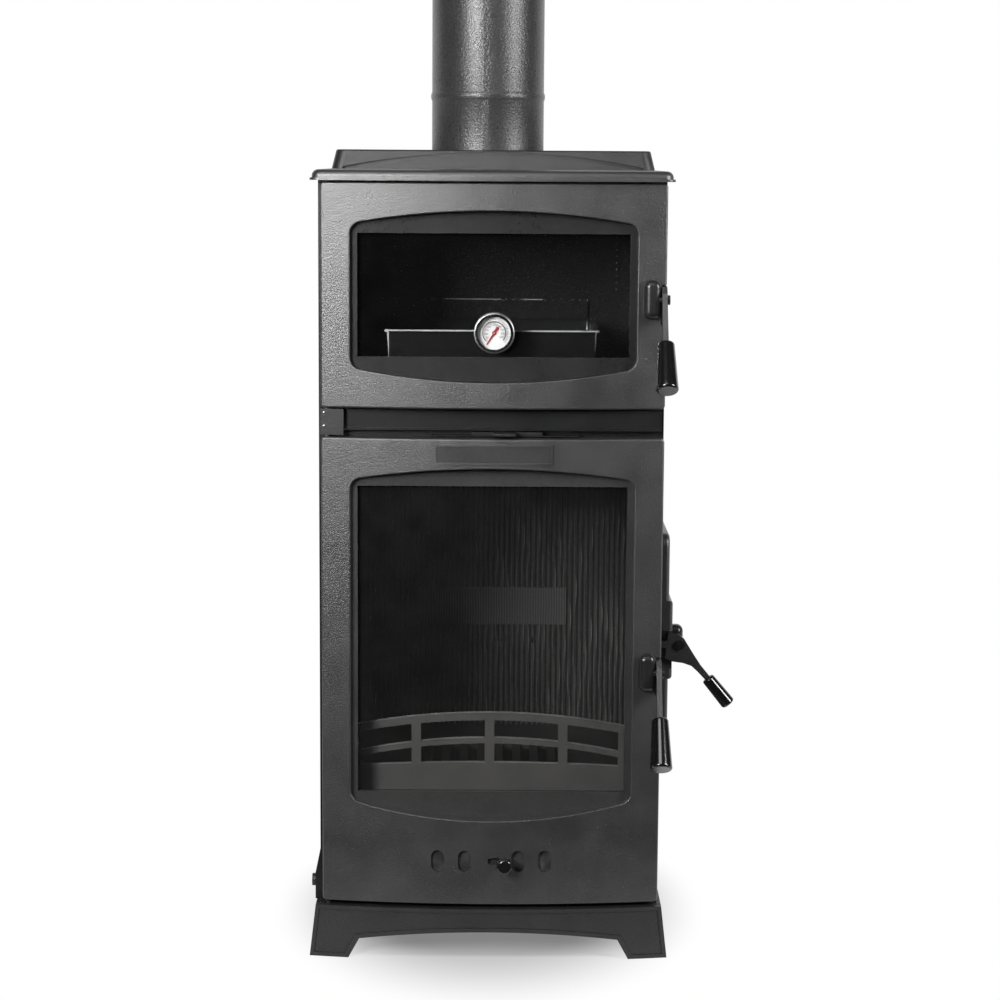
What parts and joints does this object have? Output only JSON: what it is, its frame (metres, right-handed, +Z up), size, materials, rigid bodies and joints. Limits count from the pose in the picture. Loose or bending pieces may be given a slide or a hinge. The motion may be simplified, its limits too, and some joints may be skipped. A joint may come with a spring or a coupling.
{
  "type": "cast iron cookstove",
  "caption": "Upright wood-burning cookstove: glazed oven over a glazed firebox, bowed cast doors with lever handles, side loading door, footed base and flue pipe.",
  "frame": {"origin": "on the floor, at the middle of the body's width and depth", "axes": "+X to the right as seen from the front, +Y to the back, +Z up along the flue"},
  "size_m": [0.5496, 0.5563, 1.262],
  "materials": {
    "cast_iron": "matt black heat paint over sand-cast iron",
    "flue_paint": "satin black heat paint on rolled steel",
    "oven_enamel": "gloss black enamel",
    "liner_iron": "bare sand-cast iron",
    "ash_steel": "painted sheet steel",
    "black_steel": "blackened steel",
    "clip_steel": "plain steel strip",
    "stove_glass": "clear ceramic glass",
    "seal_rope": "graphited glass-fibre rope",
    "dial_chrome": "polished",
    "dial_white": "white enamel with printed scale",
    "needle_red": "red paint",
    "dial_glass": "clear",
    "grip_black": "gloss black bakelite"
  },
  "bodies": {
    "stove": {"base_front_skirt": "cast_iron", "base_side_skirts": "cast_iron", "base_rear_skirt": "cast_iron", "bottom_plate": "cast_iron", "front_frame": "cast_iron", "left_side_wall": "cast_iron", "right_side_wall": "cast_iron", "back_wall": "cast_iron", "middle_band": "cast_iron", "hinge_blocks": "cast_iron", "hinge_pins": "black_steel", "latch_keepers": "black_steel", "body_bolts": "black_steel", "top_plate": "cast_iron", "flue_plinth": "cast_iron", "flue_collar": "flue_paint", "flue_pipe": "flue_paint", "oven_floor": "oven_enamel", "oven_ceiling": "oven_enamel", "oven_side_walls": "oven_enamel", "oven_back_wall": "oven_enamel", "baking_tray": "oven_enamel", "firebox_left_liner": "liner_iron", "firebox_right_liner": "liner_iron", "firebox_back_liner": "liner_iron", "baffle_plate": "liner_iron", "hearth_plate": "liner_iron", "fire_grate": "liner_iron", "log_guard": "liner_iron", "ash_pit_walls": "ash_steel", "ash_drawer": "ash_steel"},
    "air_wash": {"air_wash_slide": "black_steel"},
    "oven_door": {"oven_door_frame": "cast_iron", "oven_glass": "stove_glass", "oven_glass_seal": "seal_rope", "oven_glass_clips": "clip_steel", "oven_door_rope": "seal_rope", "thermometer_case": "dial_chrome", "thermometer_dial": "dial_white", "thermometer_lens": "dial_glass", "oven_handle_boss": "cast_iron"},
    "thermometer": {"thermometer_needle": "needle_red"},
    "oven_handle": {"oven_handle_lever": "cast_iron", "oven_handle_grip": "grip_black"},
    "firebox_door": {"firebox_door_frame": "cast_iron", "firebox_glass": "stove_glass", "firebox_glass_seal": "seal_rope", "firebox_glass_clips": "clip_steel", "firebox_door_rope": "seal_rope", "firebox_handle_boss": "cast_iron"},
    "firebox_handle": {"firebox_handle_lever": "cast_iron", "firebox_handle_grip": "grip_black"},
    "primary_air": {"primary_air_slide": "black_steel", "primary_air_knob": "grip_black"},
    "side_door": {"side_door_panel": "cast_iron", "side_door_rope": "seal_rope", "side_handle_boss": "cast_iron"},
    "side_handle": {"side_handle_lever": "cast_iron", "side_handle_grip": "grip_black"}
  },
  "joints": [
    {"name": "air_wash_slide", "type": "slide", "parent": "stove", "child": "air_wash", "axis": [1, 0, 0], "range_m": [0, 0.03]},
    {"name": "oven_door_hinge", "type": "hinge", "parent": "stove", "child": "oven_door", "pos_m": [-0.205, -0.221, 0.845], "axis": [0, 0, -1], "range_deg": [0, 110]},
    {"name": "thermometer_pointer", "type": "hinge", "parent": "oven_door", "child": "thermometer", "pos_m": [0.003, -0.224, 0.8], "axis": [0, 1, 0], "range_deg": [0, 270]},
    {"name": "oven_handle_lift", "type": "hinge", "parent": "oven_door", "child": "oven_handle", "pos_m": [0.21275, -0.23901, 0.843], "axis": [-1, 0, 0], "range_deg": [0, 60]},
    {"name": "firebox_door_hinge", "type": "hinge", "parent": "stove", "child": "firebox_door", "pos_m": [-0.205, -0.221, 0.371], "axis": [0, 0, -1], "range_deg": [0, 110]},
    {"name": "firebox_handle_lift", "type": "hinge", "parent": "firebox_door", "child": "firebox_handle", "pos_m": [0.21275, -0.23901, 0.374], "axis": [-1, 0, 0], "range_deg": [0, 60]},
    {"name": "primary_air_slide", "type": "slide", "parent": "firebox_door", "child": "primary_air", "axis": [-1, 0, 0], "range_m": [0, 0.017]},
    {"name": "side_door_hinge", "type": "hinge", "parent": "stove", "child": "side_door", "pos_m": [0.228, 0.118, 0.372], "axis": [0, 0, 1], "range_deg": [0, 110]},
    {"name": "side_handle_lift", "type": "hinge", "parent": "side_door", "child": "side_handle", "pos_m": [0.249, -0.10175, 0.384], "axis": [0, -1, 0], "range_deg": [0, 60]}
  ]
}
